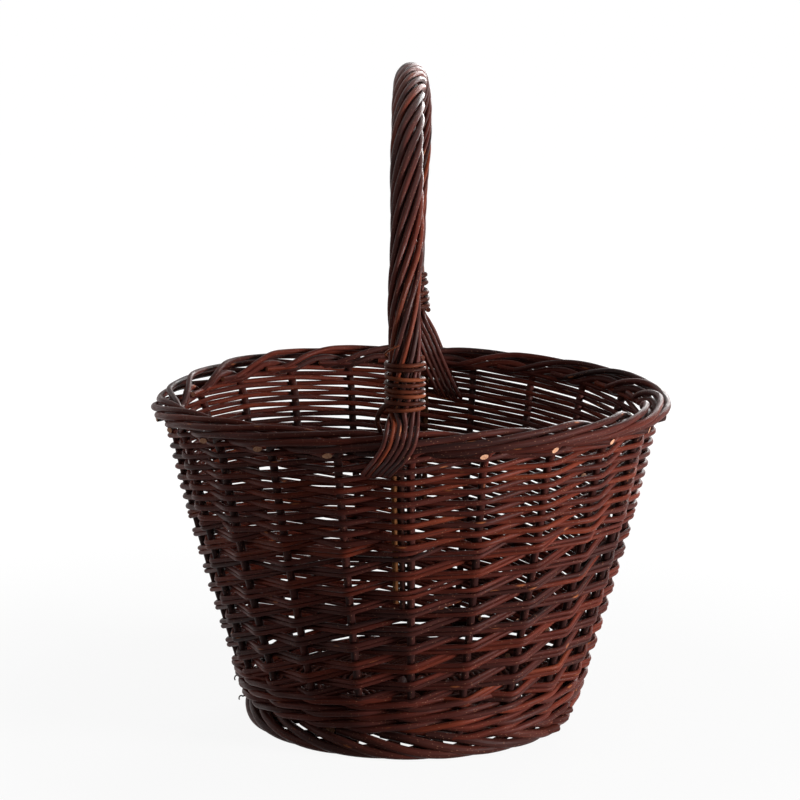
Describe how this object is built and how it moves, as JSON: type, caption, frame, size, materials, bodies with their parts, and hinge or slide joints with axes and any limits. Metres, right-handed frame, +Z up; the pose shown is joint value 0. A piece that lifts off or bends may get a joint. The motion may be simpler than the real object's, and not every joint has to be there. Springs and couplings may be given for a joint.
{
  "type": "wicker basket",
  "caption": "Round, open, stake-and-strand willow garden basket with a plaited rim, a raised foot and one fixed, rope-twisted bow handle.",
  "frame": {"origin": "on the floor at the basket's axis", "axes": "+Z up; the handle's legs stand at -Y and +Y; +X to the right of the front leg"},
  "size_m": [0.399, 0.4097, 0.5057],
  "materials": {
    "border_bark": "unpeeled dark purple-brown bark, semi-gloss",
    "weaver_bark": "unpeeled dark red-brown bark, semi-gloss",
    "foot_bark": "unpeeled dark brown bark, satin",
    "base_bark": "unpeeled dark brown bark, satin",
    "rope_bark": "unpeeled bark, purple-brown to orange-brown, semi-gloss",
    "skein": "split rod, orange-brown, satin"
  },
  "bodies": {
    "root": {"base_stick_lower_1": "base_bark", "base_stick_lower_2": "base_bark", "base_stick_lower_3": "base_bark", "base_stick_upper_1": "base_bark", "base_stick_upper_2": "base_bark", "base_stick_upper_3": "base_bark", "base_weaver_a": "base_bark", "base_weaver_b": "base_bark", "foot_rod_a": "foot_bark", "foot_rod_b": "foot_bark", "handle_binding_back": "skein", "handle_binding_front": "skein", "handle_bow": "base_bark", "rope_rod_01": "rope_bark", "rope_rod_02": "rope_bark", "rope_rod_03": "rope_bark", "rope_rod_04": "rope_bark", "rope_rod_05": "rope_bark", "rope_rod_06": "rope_bark", "rope_rod_07": "rope_bark", "rope_rod_08": "rope_bark", "rope_rod_09": "rope_bark", "rope_rod_10": "rope_bark", "siding_weaver_a": "weaver_bark", "siding_weaver_b": "weaver_bark", "stake_01": "border_bark", "stake_02": "border_bark", "stake_03": "border_bark", "stake_04": "border_bark", "stake_05": "border_bark", "stake_06": "border_bark", "stake_07": "border_bark", "stake_08": "border_bark", "stake_09": "border_bark", "stake_10": "border_bark", "stake_11": "border_bark", "stake_12": "border_bark", "stake_13": "border_bark", "stake_14": "border_bark", "stake_15": "border_bark", "stake_16": "border_bark", "stake_17": "border_bark", "stake_18": "border_bark", "stake_19": "border_bark", "stake_20": "border_bark", "stake_21": "border_bark", "stake_22": "border_bark", "upsett_weaver": "foot_bark"}
  },
  "joints": []
}
